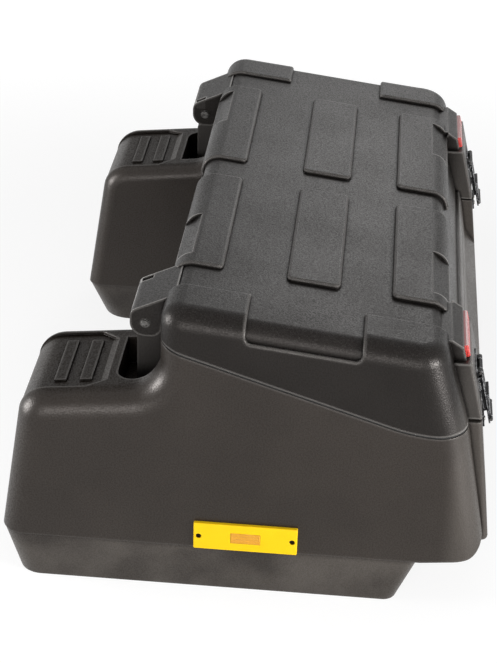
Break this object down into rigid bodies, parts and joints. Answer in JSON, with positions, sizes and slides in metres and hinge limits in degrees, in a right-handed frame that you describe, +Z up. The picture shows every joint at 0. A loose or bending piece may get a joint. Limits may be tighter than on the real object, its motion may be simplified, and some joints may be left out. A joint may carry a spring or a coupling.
{
  "type": "vehicle cargo box",
  "caption": "Hard rear cargo box for an all-terrain vehicle: moulded tub with two forward wings, hinged lid with raised pads, draw latches and reflectors.",
  "frame": {"origin": "on the ground plane of the box, under the middle of its outline", "axes": "+X across the vehicle to its right, +Y to its front, where the wings are, +Z up"},
  "size_m": [1.0132, 0.7222, 0.4713],
  "materials": {
    "shell": "fine grain",
    "seal": "matte",
    "steel": "satin",
    "bracket": "fine grain",
    "latch": "satin black",
    "red_lens": "gloss",
    "amber_case": "gloss",
    "amber_lens": "gloss",
    "plug": "matte"
  },
  "bodies": {
    "tub": {"tub": "shell", "lid_seal": "seal", "hinge_clips": "steel", "hinge_screws": "steel", "catch_screws": "steel", "side_reflector_screws": "steel", "rack_plates": "steel", "drain_plug": "plug", "hinge_bracket_left": "bracket", "hinge_pin_left": "steel", "latch_catch_left": "latch", "side_reflector_left": "amber_case", "side_reflector_insert_left": "amber_lens", "hinge_bracket_right": "bracket", "hinge_pin_right": "steel", "latch_catch_right": "latch", "side_reflector_right": "amber_case", "side_reflector_insert_right": "amber_lens"},
    "lid": {"lid": "shell", "latch_screws": "steel", "red_reflector_left": "red_lens", "latch_base_left": "steel", "latch_pin_left": "steel", "red_reflector_right": "red_lens", "latch_base_right": "steel", "latch_pin_right": "steel"},
    "latch_arm_left": {"latch_arm_left": "latch", "lever_pin_left": "steel"},
    "latch_lever_left": {"latch_lever_left": "latch"},
    "latch_arm_right": {"latch_arm_right": "latch", "lever_pin_right": "steel"},
    "latch_lever_right": {"latch_lever_right": "latch"}
  },
  "joints": [
    {"name": "lid_hinge", "type": "hinge", "parent": "tub", "child": "lid", "pos_m": [0, 0.1515, 0.4155], "axis": [-1, 0, 0], "range_deg": [0, 95]},
    {"name": "latch_arm_left_hinge", "type": "hinge", "parent": "lid", "child": "latch_arm_left", "pos_m": [-0.371, -0.32914, 0.3467], "axis": [-1, 0, 0], "range_deg": [0, 100]},
    {"name": "latch_lever_left_hinge", "type": "hinge", "parent": "latch_arm_left", "child": "latch_lever_left", "pos_m": [-0.371, -0.35072, 0.27065], "axis": [1, 0, 0], "range_deg": [0, 120]},
    {"name": "latch_arm_right_hinge", "type": "hinge", "parent": "lid", "child": "latch_arm_right", "pos_m": [0.371, -0.32914, 0.3467], "axis": [-1, 0, 0], "range_deg": [0, 100]},
    {"name": "latch_lever_right_hinge", "type": "hinge", "parent": "latch_arm_right", "child": "latch_lever_right", "pos_m": [0.371, -0.35072, 0.27065], "axis": [1, 0, 0], "range_deg": [0, 120]}
  ]
}
